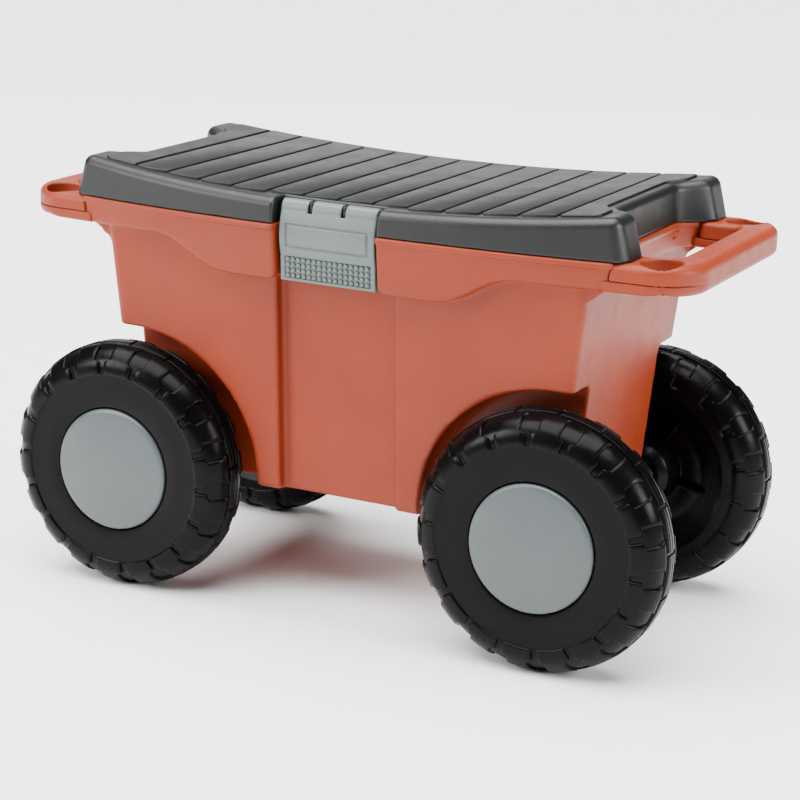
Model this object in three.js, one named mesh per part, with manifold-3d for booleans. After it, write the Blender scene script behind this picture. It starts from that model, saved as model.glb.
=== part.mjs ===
// Garden tool cart: a storage tub on four wheels that doubles as a low seat. It has a slatted lid
// hinged along the back, a pivoting front latch, and a carrying handle with tool holes at each end.
//
// Millimetres. +X runs along the cart, the latch is on the -Y side, +Z is up, and the origin is on
// the ground midway between the axles.
import * as THREE from 'three';
import { mergeVertices } from 'three/addons/utils/BufferGeometryUtils.js';
import Module from 'manifold-3d';

// Wheels and axles
const WHEEL_RADIUS = 100;
const WHEEL_MIDDLE_Y = 109.25;
const WHEEL_OUTER = 28.25;
const WHEEL_INNER = 24.25;
const WHEEL_SHOULDER = 22;
const AXLE_X = 182;
const AXLE_Z = WHEEL_RADIUS;
const AXLE_RADIUS = 5;
const AXLE_END = 126;
const BORE_RADIUS = AXLE_RADIUS + 0.35;
const CAP_RADIUS = 49.4;
const CAP_CROWN = 4.6;
const CAP_SEAT = 3.6;
const WHEEL_SEGMENTS = 28;

// Tub
const WALL = 3;
const TUB_BOTTOM = 94;
const RIM_Z = 313;
const BOTTOM_HALF_LENGTH = 185.6;
const BOTTOM_HALF_WIDTH = 97.7;
const LENGTH_DRAFT = 0.094;
const FOOT_ROUNDING = [[0, 5], [1.8, 1.6], [5.5, 0]];
const WELL_DIP = 5;
const BEYOND_END = 300;
const WIDTH_DRAFT = 0.0585;
const TUB_CORNER = 9;
const WELL_RADIUS = 111;
const WELL_WALL = 71;
const RECESS_HALF_WIDTH = 50.5;
const RECESS_DEPTH = 9.5;
const OPENING_HALF_WIDTH = 43.5;
const TUNNEL_RADIUS = 8.6;

// Flared band under the rim
const BAND_LOW_Z = 269;
const BAND_HIGH_Z = 292;
const BAND_INNER_X = 90;
const BAND_OUTER_X = 150;
const BAND_DRAFT = 0.12;
const BEAD_HEIGHT = 4.6;
const BEAD_PROUD = 0.7;

// Rim and lid in plan
const RIM_HALF_WIDTH = 128.5;
const RIM_BOW = 15.5;
const RIM_BOW_POWER = 2.6;
const LOBE_X = 229.3;
const NOTCH_X = 210;

// Lid
const LID_FOOT_Z = RIM_Z + 0.3;
const LID_TOP_Z = 333.6;
const LID_SAG = 2.59e-4;
const PLANK_PITCH = 29.7;
const PLANK_COUNT = 14;
const PLANK_GAP = 3;
const PLANK_RISE = 1.6;
const PLANK_HALF_WIDTH = 110;
const LATCH_NOTCH = { halfWidth: 44, y: -106 };

// Handles
const HANDLE_END = 287;
const HANDLE_SIDE = 111;
const HANDLE_CORNER = 40;
const HANDLE_BOTTOM = 292;
const SEAM_X = 220;
const SEAM_Z = 300;
const LIP_END = 272;
const GRIP_INNER = 261;
const WINDOW_HALF_WIDTH = 72;
const TOOL_HOLE_RADIUS = 15.5;
const TOOL_HOLE = { x: 253.6, y: 92.2 };
const COVER_SCREW = { x: 230, y: 96 };
const GUSSET_Y = 104;

// Latch
const LATCH_HALF_WIDTH = 40.5;
const LATCH_AXIS = { y: -113.2, z: 326 };
const LATCH_CURL = 5.6;
const LATCH_SKIN = 2.4;
const LATCH_BAR_RADIUS = 2.6;
const LATCH_HOOKS = [-17, 15];

// Lid hinge
const HINGE_AXIS = { y: 133.6, z: LID_FOOT_Z };
const HINGE_X = 75;
const HINGE_RADIUS = 4.2;
const PIN_RADIUS = 2;

const GAP = 0.3;

const wasm = await Module();
wasm.setup();

const finish = (color, roughness, metalness = 0) => () =>
  new THREE.MeshStandardMaterial({ color, roughness, metalness });
const terracotta = finish('#be6b55', 0.5);
const charcoal = finish('#5b5b5c', 0.55);
const silverGrey = finish('#a9b3b2', 0.45);
const capGrey = finish('#8f9697', 0.5);
const tyreBlack = finish('#262424', 0.45);
const zincSteel = finish('#b9bcbf', 0.35, 1);

// ---------- solids ----------

const point = (x, y) => new THREE.Vector2(Math.fround(x), Math.fround(y));

function toSolid(geometry) {
  geometry.deleteAttribute('normal');
  geometry.deleteAttribute('uv');
  const merged = mergeVertices(geometry, 1e-4);
  return new wasm.Manifold(new wasm.Mesh({
    numProp: 3,
    vertProperties: Float32Array.from(merged.attributes.position.array),
    triVerts: Uint32Array.from(merged.index.array),
  }));
}

function toMesh(name, solid, material) {
  const { vertProperties, triVerts } = solid.getMesh();
  const geometry = new THREE.BufferGeometry();
  geometry.setAttribute('position', new THREE.BufferAttribute(vertProperties, 3));
  geometry.setIndex(new THREE.BufferAttribute(triVerts, 1));
  geometry.computeVertexNormals();
  const mesh = new THREE.Mesh(geometry, material());
  mesh.name = name;
  return mesh;
}

const extruded = (outline, depth) =>
  new THREE.ExtrudeGeometry(new THREE.Shape(outline), { depth, bevelEnabled: false });

const extrudeZ = (outline, z0, z1) => toSolid(extruded(outline, z1 - z0).translate(0, 0, z0));

// An outline in X and Z, drawn out along Y.
const extrudeY = (outline, y0, y1) =>
  toSolid(extruded(outline, y1 - y0).rotateX(Math.PI / 2).translate(0, y1, 0));

// An outline in Y and Z, drawn out along X.
function extrudeX(outline, x0, x1) {
  const turn = new THREE.Matrix4().makeBasis(
    new THREE.Vector3(0, 1, 0), new THREE.Vector3(0, 0, 1), new THREE.Vector3(1, 0, 0));
  return toSolid(extruded(outline, x1 - x0).applyMatrix4(turn).translate(x0, 0, 0));
}

function block(x0, x1, y0, y1, z0, z1) {
  const box = new THREE.BoxGeometry(x1 - x0, y1 - y0, z1 - z0);
  return toSolid(box.translate((x0 + x1) / 2, (y0 + y1) / 2, (z0 + z1) / 2));
}

// A solid of revolution about a line along Y. The profile is in radius and Y.
const latheY = (profile, segments) => toSolid(new THREE.LatheGeometry(profile, segments));

// A rod along X, Y or Z, centred on `at`, between two places on its own axis.
function rod(axis, radius, from, to, at, segments = 24) {
  const geometry = new THREE.CylinderGeometry(radius, radius, to - from, segments);
  geometry.translate(0, (from + to) / 2, 0);
  if (axis === 'x') geometry.rotateZ(-Math.PI / 2);
  if (axis === 'z') geometry.rotateX(Math.PI / 2);
  return toSolid(geometry.translate(at.x ?? 0, at.y ?? 0, at.z ?? 0));
}

const joined = (solids) => solids.reduce((whole, solid) => whole.add(solid));
const mirrorX = (solid) => solid.mirror([1, 0, 0]);
const mirrorY = (solid) => solid.mirror([0, 1, 0]);
const bothEnds = (solid) => solid.add(mirrorX(solid));
const bothSides = (solid) => solid.add(mirrorY(solid));

// ---------- outlines ----------

function arc(cx, cy, radius, from, to, steps) {
  return Array.from({ length: steps + 1 }, (_, i) => {
    const angle = THREE.MathUtils.degToRad(from + (to - from) * i / steps);
    return point(cx + radius * Math.cos(angle), cy + radius * Math.sin(angle));
  });
}

// Four-fold outline from one quarter, which runs clockwise from the +Y side to the +X side.
function fourFold(quarter) {
  const back = [...quarter].reverse();
  const all = [
    ...back,
    ...quarter.map((p) => point(-p.x, p.y)),
    ...back.map((p) => point(-p.x, -p.y)),
    ...quarter.map((p) => point(p.x, -p.y)),
  ];
  return all.filter((p, i) => p.distanceTo(all[(i + 1) % all.length]) > 1e-3);
}

const roundedBox = (halfX, halfY, radius) =>
  fourFold(arc(halfX - radius, halfY - radius, radius, 90, 0, 3));

const bow = (x) => RIM_HALF_WIDTH - RIM_BOW * Math.pow(Math.abs(x) / 225, RIM_BOW_POWER);

// The rim in plan: long sides that bow outwards and ends that step in between two corner lobes.
function rimOutline(lobeX) {
  const corner = 12;
  const sides = [0, 45, 85, 120, 150, 178, 200];
  const cornerY = bow(lobeX - corner) - corner;
  return fourFold([
    ...sides.map((x) => point(x, bow(x))),
    ...arc(lobeX - corner, cornerY, corner, 80, 0, 3),
    point(lobeX - 0.6, 84),
    point(lobeX - 3.5, 77),
    point(NOTCH_X + (lobeX - NOTCH_X) * 0.45, 69),
    point(NOTCH_X + 2.5, 62.5),
    point(NOTCH_X, 55),
    point(NOTCH_X, 0),
  ]);
}

function outwardNormals(outline) {
  const normals = new Map();
  outline.forEach((here, i) => {
    const before = outline.at(i - 1);
    const after = outline[(i + 1) % outline.length];
    const a = new THREE.Vector2(here.y - before.y, before.x - here.x).normalize();
    const b = new THREE.Vector2(after.y - here.y, here.x - after.x).normalize();
    const sum = a.clone().add(b).normalize();
    normals.set(`${here.x},${here.y}`, sum.divideScalar(Math.max(0.5, sum.dot(a))));
  });
  return normals;
}

// A stack of rings, each the same outline moved by its own rule, closed top and bottom.
function loft(outline, rings) {
  const normals = outwardNormals(outline);
  const levels = rings.length - 1;
  const geometry = new THREE.ExtrudeGeometry(new THREE.Shape(outline), {
    depth: levels, steps: levels, bevelEnabled: false,
  });
  const position = geometry.attributes.position;
  for (let i = 0; i < position.count; i += 1) {
    const x = position.getX(i);
    const y = position.getY(i);
    const ring = rings[Math.round(position.getZ(i))];
    position.setXYZ(i, ...ring(x, y, normals.get(`${x},${y}`)));
  }
  return toSolid(geometry);
}

const scaled = (sx, sy, z) => (x, y) => [x * sx, y * sy, z];
const inset = (distance, z) => (x, y, n) => {
  const movedX = x - n.x * distance;
  return [movedX, y - n.y * distance, typeof z === 'function' ? z(movedX) : z];
};

// ---------- tub ----------

const halfLength = (z) => BOTTOM_HALF_LENGTH + LENGTH_DRAFT * (z - TUB_BOTTOM);
const halfWidth = (z) => BOTTOM_HALF_WIDTH + WIDTH_DRAFT * (z - TUB_BOTTOM);

// The drafted box that the tub's walls follow, offset inwards by `thickness`.
function draftedBox(thickness, bottom, top) {
  const unitCorner = 0.09;
  const unitFlat = 1 - unitCorner;
  const cornerScale = TUB_CORNER / unitCorner;
  const section = (z, inset) => {
    const length = halfLength(z) - thickness - inset;
    const width = halfWidth(z) - thickness - inset;
    return (x, y) => {
      const flatX = Math.sign(x) * Math.min(Math.abs(x), unitFlat);
      const flatY = Math.sign(y) * Math.min(Math.abs(y), unitFlat);
      return [
        Math.sign(x) * (length - TUB_CORNER) + (x - flatX) * cornerScale,
        Math.sign(y) * (width - TUB_CORNER) + (y - flatY) * cornerScale,
        z,
      ];
    };
  };
  const footRounding = FOOT_ROUNDING.map(([rise, inset]) => section(bottom + rise, inset));
  return loft(roundedBox(1, 1, unitCorner), [...footRounding, section(top, 0)]);
}

// Wheel wells: an arch about each axle that carries on level to the end of the tub.
function wheelWells(grow) {
  const radius = WELL_RADIUS + grow;
  const outline = [
    ...arc(AXLE_X, AXLE_Z, radius, 180 + WELL_DIP, 90, 8),
    point(BEYOND_END, AXLE_Z + radius),
    point(BEYOND_END, AXLE_Z - Math.sin(WELL_DIP * Math.PI / 180) * radius),
  ];
  return bothSides(bothEnds(extrudeY(outline, WELL_WALL - grow, 160)));
}

// The lower edge of the flared band: low in the middle, an S-curve, then high to the ends.
function bandZone(lift) {
  const drop = BAND_HIGH_Z - BAND_LOW_Z;
  const steps = 6;
  const half = Array.from({ length: steps + 1 }, (_, i) => {
    const t = i / steps;
    const x = BAND_INNER_X + (BAND_OUTER_X - BAND_INNER_X) * t;
    return point(x, BAND_LOW_Z + lift + drop * (1 - Math.cos(Math.PI * t)) / 2);
  });
  const right = [...half, point(320, BAND_HIGH_Z + lift)];
  const left = [...right].reverse().map((p) => point(-p.x, p.y));
  return extrudeY([...left, ...right, point(320, 330), point(-320, 330)], -150, 150);
}

const bandInset = (z) => BEAD_PROUD + BAND_DRAFT * (RIM_Z - z);

function band(thickness, lift, top) {
  const outline = rimOutline(SEAM_X - 1);
  const low = BAND_LOW_Z - 4;
  const flare = loft(outline, [
    inset(bandInset(low) + thickness, low), inset(bandInset(top) + thickness, top)]);
  return flare.intersect(bandZone(lift));
}

function rimBead() {
  const outline = rimOutline(SEAM_X - 1);
  const low = RIM_Z - BEAD_HEIGHT;
  return loft(outline, [
    inset(0.6, low), inset(-BEAD_PROUD, low + 0.8), inset(-BEAD_PROUD, RIM_Z - 0.8), inset(0.2, RIM_Z)]);
}

// The upright channel in the middle of the front wall, and the latch opening above it.
function frontChannel(grow, halfWidth0, low) {
  const face = (z) => -(halfWidth(z) - RECESS_DEPTH - grow);
  const outline = [point(face(low), low), point(-160, low), point(-160, 330), point(face(330), 330)];
  return extrudeX(outline, -halfWidth0 - grow, halfWidth0 + grow);
}

function latchOpening(grow) {
  const half = OPENING_HALF_WIDTH + grow;
  const corner = 7;
  const flare = [
    ...arc(half + corner, BAND_LOW_Z + corner, corner, 180, 270, 4),
    point(half + corner, BAND_LOW_Z - 10),
  ];
  const right = [point(half, 330), ...flare];
  const left = [...right].reverse().map((p) => point(-p.x, p.y));
  return extrudeY([...left, ...right], -160, 0).intersect(frontChannel(grow, 60, BAND_LOW_Z - 20));
}

// ---------- handles ----------

// One handle in plan, at the +X end, offset inwards by `thickness` and starting at `startX`.
function handleOutline(thickness, startX) {
  const side = HANDLE_SIDE - thickness;
  const rootSide = 112.3 - thickness;
  const end = HANDLE_END - thickness;
  const radius = HANDLE_CORNER - thickness;
  const upper = [
    point(startX, rootSide),
    point(232, side + 0.6),
    ...arc(end - radius, side - radius, radius, 90, 0, 5),
  ];
  return [...upper.map((p) => point(p.x, -p.y)), ...upper.reverse()];
}

// The hand window between the tub's end and the grip, offset outwards by `grow`.
function windowOutline(grow) {
  const half = WINDOW_HALF_WIDTH + grow;
  const inner = GRIP_INNER + grow;
  const radius = 8 + grow;
  const right = arc(inner - radius, half - radius, radius, 0, 90, 3);
  return [
    ...right,
    point(180, half),
    point(180, -half),
    ...[...right].reverse().map((p) => point(p.x, -p.y)),
  ];
}

const toolHoles = (radius, z0, z1) =>
  bothSides(rod('z', radius, z0, z1, TOOL_HOLE, 18));

const screwRods = (radius, z0, z1) =>
  bothSides(rod('z', radius, z0, z1, COVER_SCREW, 12));

// The tray under the handle cover, moulded with the tub: an outer lip under each arm and a floor
// that closes the grip from below.
function handleTray() {
  const floorTop = HANDLE_BOTTOM + 2.6;
  const lip = extrudeZ(handleOutline(0, SEAM_X - 4), HANDLE_BOTTOM, SEAM_Z - GAP / 2)
    .intersect(block(200, LIP_END, -140, 140, 280, 310));
  const gripFloor = extrudeZ(handleOutline(3.3, SEAM_X - 4), HANDLE_BOTTOM, floorTop);
  const pocket = extrudeZ(handleOutline(2.6, SEAM_X), floorTop, SEAM_Z + 5)
    .subtract(extrudeZ(windowOutline(2.6), 280, 320))
    .subtract(toolHoles(TOOL_HOLE_RADIUS + 2.4, 280, 320));
  const edge = extrudeZ(windowOutline(3), 280, 320).subtract(block(100, 259, -140, 140, 270, 330));
  return lip.add(gripFloor)
    .subtract(pocket)
    .subtract(edge)
    .subtract(extrudeZ(windowOutline(0), 280, 320))
    .subtract(toolHoles(TOOL_HOLE_RADIUS, 280, 320))
    .subtract(screwRods(2.1, 280, 320));
}

// Diagonal ribs that brace the flange against the tub's end wall.
function gussets() {
  const outline = [point(198, 276), point(SEAM_X - 3, BAND_HIGH_Z + 0.6), point(198, BAND_HIGH_Z + 0.6)];
  return bothSides(bothEnds(extrudeY(outline, GUSSET_Y - 1.3, GUSSET_Y + 1.3)));
}

function handleCover() {
  const top = RIM_Z;
  const skin = 2.5;
  const outline = handleOutline(0, SEAM_X + GAP + 0.1);
  const crowned = (low) => loft(outline, [
    inset(0.8, low), inset(0, low + 1.6), inset(0, top - 6.5), inset(1.3, top - 2.8), inset(5, top)]);
  const arms = crowned(SEAM_Z + GAP / 2).intersect(block(200, LIP_END + GAP, -140, 140, 280, 330));
  const grip = crowned(HANDLE_BOTTOM - 0.6).intersect(block(LIP_END + GAP, 300, -140, 140, 280, 330));
  const pocket = extrudeZ(handleOutline(skin + 0.4, SEAM_X + GAP + skin), 280, top - skin)
    .subtract(extrudeZ(windowOutline(skin), 280, 320))
    .subtract(toolHoles(TOOL_HOLE_RADIUS + skin, 280, 320));
  const bosses = screwRods(4.2, SEAM_Z - 4.8, top - 1)
    .subtract(screwRods(1.7 + GAP, 280, top - 5));
  const gripEdge = extrudeZ(windowOutline(0), 280, 320);
  const shell = arms.add(grip).subtract(pocket).subtract(gripEdge)
    .subtract(toolHoles(TOOL_HOLE_RADIUS, 280, 320));
  return shell.add(bosses);
}

// ---------- lid hinge ----------

const hingeBore = () => rod('x', PIN_RADIUS + GAP, -140, 140, HINGE_AXIS, 12);

function tubHingeEars() {
  const barrel = arc(HINGE_AXIS.y, HINGE_AXIS.z, HINGE_RADIUS, -60, 240, 9);
  const outline = [...barrel, point(128.6, 309.5), point(124.5, 309.5), point(124.5, 300)];
  const pair = [-13.5, 6.5].map((x) => extrudeX(outline, HINGE_X + x, HINGE_X + x + 7));
  return bothEnds(joined(pair)).subtract(hingeBore());
}

function lidHingeKnuckles() {
  const barrel = arc(HINGE_AXIS.y, HINGE_AXIS.z, HINGE_RADIUS, -176, 110, 9);
  const outline = [...barrel, point(125.5, 318.5), point(125.5, LID_FOOT_Z + 0.5)];
  return bothEnds(extrudeX(outline, HINGE_X - 6, HINGE_X + 6)).subtract(hingeBore());
}

// ---------- the pieces ----------

function makeTub() {
  const body = draftedBox(0, TUB_BOTTOM, RIM_Z - 2)
    .subtract(wheelWells(0))
    .subtract(frontChannel(0, RECESS_HALF_WIDTH, TUB_BOTTOM - 10));
  const outside = body.add(band(0, 0, RIM_Z)).add(rimBead()).subtract(latchOpening(0));
  const axle = { x: AXLE_X, z: AXLE_Z };
  const tunnels = bothEnds(rod('y', TUNNEL_RADIUS, -WELL_WALL, WELL_WALL, axle, 16));
  const lowerCavity = draftedBox(WALL, TUB_BOTTOM + WALL, 330)
    .subtract(wheelWells(WALL))
    .subtract(frontChannel(WALL, RECESS_HALF_WIDTH, TUB_BOTTOM - 10));
  const upperCavity = band(WALL, WALL, 330).subtract(latchOpening(WALL));
  const cavity = lowerCavity.add(upperCavity);
  const catchBar = block(-22, 22, -109.5, -97, 283, 287)
    .subtract(lowerCavity);
  const bores = bothEnds(rod('y', BORE_RADIUS, -160, 160, axle, 20));
  return outside
    .add(bothEnds(handleTray()))
    .add(gussets().subtract(lowerCavity))
    .subtract(cavity)
    .add(tunnels)
    .add(tubHingeEars())
    .add(catchBar)
    .subtract(bores);
}

const lidSag = (x) => LID_SAG * x * x;

// Everything under a curve along the lid, for the whole width.
function underSag(z) {
  const steps = 8;
  const top = Array.from({ length: steps + 1 }, (_, i) => {
    const x = 240 - 480 * i / steps;
    return point(x, z + lidSag(x));
  });
  return extrudeY([point(-240, 290), point(240, 290), ...top], -140, 140);
}

function lidShell(thickness, foot) {
  const shoulder = LID_TOP_Z - PLANK_RISE - thickness;
  const outline = rimOutline(LOBE_X);
  const level = (below) => (x) => shoulder - below + lidSag(x);
  const walls = loft(outline, [
    inset(0.6 + thickness, foot),
    inset(1.6 + thickness, level(8)),
    inset(3.4 + thickness, level(3.2)),
    inset(7 + thickness, level(0)),
    inset(7 + thickness, 360),
  ]);
  return walls.intersect(underSag(shoulder));
}

// The planks' common outline: inside the lid's top edge, stepping in at the ends like the rim.
function plankField() {
  const sides = [0, 60, 110, 150, 180];
  const side = (x) => PLANK_HALF_WIDTH - 5 * (x / 180) * (x / 180);
  const field = extrudeZ(fourFold([
    ...sides.map((x) => point(x, side(x))),
    ...arc(207, side(205) - 5, 5, 80, 0, 3),
    point(211.5, 84),
    point(208, 76),
    point(200, 66),
    point(197.5, 56),
    point(197.5, 0),
  ]), 320, 360);
  return field.intersect(underSag(LID_TOP_Z)).subtract(underSag(LID_TOP_Z - 2 * PLANK_RISE));
}

function planks() {
  const field = plankField();
  const strips = Array.from({ length: PLANK_COUNT }, (_, i) => {
    const x = (i - PLANK_COUNT / 2) * PLANK_PITCH;
    const first = i === 0 ? -30 : PLANK_GAP / 2;
    const last = i === PLANK_COUNT - 1 ? 30 : -PLANK_GAP / 2;
    return field.intersect(block(x + first, x + PLANK_PITCH + last, -140, 140, 300, 370));
  });
  const behindLatch = block(-46, 46, -150, LATCH_NOTCH.y + 5, 300, 370);
  return joined(strips).subtract(behindLatch);
}

function latchHooks() {
  const { y, z } = LATCH_AXIS;
  const hooks = LATCH_HOOKS.map((x) => rod('x', LATCH_CURL - 0.4, x - 2, x + 2, LATCH_AXIS, 20)
    .add(block(x - 2, x + 2, y, -103.5, z - 3.6, z + 3.6)));
  return joined(hooks).subtract(rod('x', LATCH_BAR_RADIUS + GAP + 0.05, -60, 60, LATCH_AXIS, 16));
}

function makeLid() {
  const { halfWidth: half, y } = LATCH_NOTCH;
  const notch = (grow) => block(-half - grow, half + grow, -150, y + grow, 290, 370);
  const hollow = lidShell(WALL, LID_FOOT_Z - 5).subtract(notch(WALL));
  return lidShell(0, LID_FOOT_Z)
    .add(planks())
    .subtract(notch(0))
    .subtract(hollow)
    .add(lidHingeKnuckles())
    .add(latchHooks());
}

function makeLatch() {
  const { y, z } = LATCH_AXIS;
  const skinProfile = (r, faceY, low) => [
    point(faceY + 0.6, low),
    ...arc(y, z, r, 190, 40, 10),
    point(y, z),
    point(-110, 305),
    point(-110, low),
  ];
  const outer = extrudeX(skinProfile(LATCH_CURL, -119.4, 269.4), -LATCH_HALF_WIDTH, LATCH_HALF_WIDTH);
  const insideWidth = LATCH_HALF_WIDTH - LATCH_SKIN;
  const inner = [
    point(-116.4, 271.6),
    ...arc(y, z, LATCH_CURL - LATCH_SKIN, 190, 30, 8),
    point(-90, 328),
    point(-90, 271.6),
  ];
  const hollow = extrudeX(inner, -insideWidth, insideWidth);
  const trim = extrudeX([point(-113.6, 260), point(-113.6, 318), point(-90, 318), point(-90, 260)], -60, 60);
  const ends = rod('x', LATCH_CURL, -LATCH_HALF_WIDTH, LATCH_HALF_WIDTH, LATCH_AXIS, 20)
    .subtract(block(-insideWidth, insideWidth, -130, -90, 300, 340));
  const bar = rod('x', LATCH_BAR_RADIUS, -insideWidth - 1, insideWidth + 1, LATCH_AXIS, 16);
  const slots = joined(LATCH_HOOKS.map((x) => block(x - 2.5, x + 2.5, -130, -90, 319.5, 340)));
  const frame = block(-34, 34, -120.1, -118.2, 297, 313)
    .subtract(block(-32, 32, -125, -110, 299, 311));
  return outer
    .subtract(hollow)
    .subtract(trim)
    .add(ends)
    .subtract(slots)
    .add(bar)
    .add(frame);
}

// Profiles are in radius and distance outwards from the wheel's middle plane.
function makeWheel() {
  const side = WHEEL_RADIUS - WHEEL_SHOULDER;
  const seat = WHEEL_OUTER - CAP_SEAT;
  const face = WHEEL_OUTER - 1;
  const outside = [
    point(BORE_RADIUS, 10.7),
    point(18, 10.7),
    point(19.5, seat),
    point(CAP_RADIUS + 0.8, seat),
    point(CAP_RADIUS + 0.8, face),
    point(side - 1, face),
    point(side, WHEEL_OUTER),
    ...arc(side, WHEEL_OUTER - WHEEL_SHOULDER, WHEEL_SHOULDER, 65, 0, 3),
    ...arc(side, WHEEL_SHOULDER - WHEEL_INNER, WHEEL_SHOULDER, 0, -90, 4),
    point(67, -WHEEL_INNER + 3),
    point(47, -WHEEL_INNER + 13),
    point(29, -WHEEL_INNER + 14),
    point(25, -WHEEL_INNER - 7),
    point(20, -WHEEL_INNER - 11.5),
    point(BORE_RADIUS, -WHEEL_INNER - 11.5),
  ];
  const hollow = [
    point(9, 7),
    point(16, 7),
    point(22.5, 9),
    point(23.5, 19.5),
    point(side - 2, 20),
    point(WHEEL_RADIUS - 9, 8),
    point(WHEEL_RADIUS - 9, -4),
    point(side - 4, -16),
    point(48, -5),
    point(24, -4),
    point(18, -32),
    point(9, -32),
  ];
  const slit = [point(BORE_RADIUS - 1, 0), point(BORE_RADIUS - 1, 2), point(10, 2), point(10, 0)];
  const closed = (profile) => [...profile].reverse().concat(profile.at(-1));
  return latheY(closed(outside), WHEEL_SEGMENTS)
    .subtract(latheY(closed(hollow), WHEEL_SEGMENTS / 2))
    .subtract(latheY(closed(slit), WHEEL_SEGMENTS / 2));
}

function makeHubCap() {
  const base = WHEEL_OUTER - CAP_SEAT + GAP;
  const face = WHEEL_OUTER;
  const profile = [
    point(0, face + 2.2),
    point(38, base + 2),
    point(38, base + 0.1),
    point(CAP_RADIUS - 1, base + 0.1),
    point(CAP_RADIUS, base + 1),
    point(CAP_RADIUS, face + 0.4),
    point(CAP_RADIUS - 1.4, face + 1.4),
    point(34, face + 3.2),
    point(17, face + 4.3),
    point(0, face + CAP_CROWN),
  ];
  return latheY(profile, 24);
}

const washerSolid = (inner, outer, from, to, segments) => latheY(
  [point(inner, from), point(outer, from), point(outer, to), point(inner, to), point(inner, from)],
  segments);

// ---------- assembly ----------

const cart = new THREE.Group();

cart.add(toMesh('tub', makeTub(), terracotta));
cart.add(toMesh('lid', makeLid(), charcoal));
cart.add(toMesh('latch', makeLatch(), silverGrey));

const cover = handleCover();
const coverScrew = rod('z', 1.7, 291.2, RIM_Z - 6, COVER_SCREW, 12)
  .add(rod('z', 3.4, HANDLE_BOTTOM - 2.6, HANDLE_BOTTOM - GAP, COVER_SCREW, 12));

for (const [end, sign] of [['right', 1], ['left', -1]]) {
  const toEnd = (solid) => (sign > 0 ? solid : mirrorX(solid));
  cart.add(toMesh(`handle_cover_${end}`, toEnd(cover), terracotta));
  cart.add(toMesh(`cover_screw_${end}_rear`, toEnd(coverScrew), zincSteel));
  cart.add(toMesh(`cover_screw_${end}_front`, toEnd(mirrorY(coverScrew)), zincSteel));

  const hingePin = rod('x', PIN_RADIUS, HINGE_X - 15, HINGE_X + 15, HINGE_AXIS, 12);
  cart.add(toMesh(`lid_hinge_pin_${end}`, toEnd(hingePin), zincSteel));

  const axle = rod('y', AXLE_RADIUS, -AXLE_END, AXLE_END, { x: AXLE_X, z: AXLE_Z }, 24);
  cart.add(toMesh(`axle_${end}`, toEnd(axle), zincSteel));
}

const wheel = makeWheel();
const hubCap = makeHubCap();
const pushNut = washerSolid(AXLE_RADIUS + GAP, 9.5, 11.1, 13.1, 16);
const washer = washerSolid(AXLE_RADIUS + GAP, 11, -WHEEL_INNER - 13.4, -WHEEL_INNER - 11.9, 20);

for (const [side, facing] of [['front', -1], ['rear', 1]]) {
  for (const [end, sign] of [['right', 1], ['left', -1]]) {
    const corner = new THREE.Group();
    corner.position.set(sign * AXLE_X, facing * WHEEL_MIDDLE_Y, AXLE_Z);
    corner.rotation.z = facing > 0 ? 0 : Math.PI;
    corner.add(toMesh(`wheel_${side}_${end}`, wheel, tyreBlack));
    corner.add(toMesh(`hub_cap_${side}_${end}`, hubCap, capGrey));
    corner.add(toMesh(`push_nut_${side}_${end}`, pushNut, zincSteel));
    corner.add(toMesh(`axle_washer_${side}_${end}`, washer, zincSteel));
    cart.add(corner);
  }
}

export default cart;
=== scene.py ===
import math

import bmesh
import bpy
import numpy as np
from mathutils import Matrix, Vector


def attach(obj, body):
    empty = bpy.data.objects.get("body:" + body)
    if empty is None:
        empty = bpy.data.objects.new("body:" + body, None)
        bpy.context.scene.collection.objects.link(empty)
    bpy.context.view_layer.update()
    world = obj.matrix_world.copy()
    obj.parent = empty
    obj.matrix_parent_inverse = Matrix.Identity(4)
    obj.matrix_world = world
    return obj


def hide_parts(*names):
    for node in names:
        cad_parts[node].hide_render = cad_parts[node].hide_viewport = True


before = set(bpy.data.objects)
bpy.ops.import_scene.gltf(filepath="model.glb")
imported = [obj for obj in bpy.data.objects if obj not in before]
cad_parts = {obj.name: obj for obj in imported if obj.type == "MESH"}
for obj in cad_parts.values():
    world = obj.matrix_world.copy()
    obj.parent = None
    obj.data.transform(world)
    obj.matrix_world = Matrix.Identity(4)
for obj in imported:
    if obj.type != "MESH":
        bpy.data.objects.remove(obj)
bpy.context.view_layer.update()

MM = 0.001
CART_BODY = "cart_body"
LID_BODY = "lid_body"
LATCH_BODY = "latch_body"

# ---------------------------------------------------------------- sizes, in millimetres

WALL = 3.0

# The tub: body, rim with its two stepped ends, wheel wells, front channel and flared band.
TUB_BOTTOM = 94.0
BOTTOM_HALF_LENGTH = 185.6
BOTTOM_HALF_WIDTH = 97.7
END_DRAFT = 0.094
SIDE_DRAFT = 0.0585
RIM_Z = 313.0
RIM_END = 223.6
RIM_HALF_WIDTH = 128.5
RIM_BOW = 15.5
NOTCH_X = 210.0
NOTCH_HALF_WIDTH = 55.0
NOTCH_RAMP = 27.0
AXLE_X = 182.0
AXLE_Z = 100.0
AXLE_BORE = 5.35
TUNNEL_RADIUS = 8.6
WELL_RADIUS = 111.0
WELL_WALL = 71.0
CHANNEL_HALF_WIDTH = 50.5
CHANNEL_DEPTH = 9.5
OPENING_HALF_WIDTH = 43.5
BAND_LOW_Z = 269.0
BAND_HIGH_Z = 292.0
BAND_STEP_X = 90.0
BAND_STEP_LENGTH = 60.0
BAND_DRAFT = 0.12
GUSSET_X = 198.0
GUSSET_Y = 104.0
GUSSET_Z = 276.0
GUSSET_RISE = 16.6
GUSSET_RUN = 21.0

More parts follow.
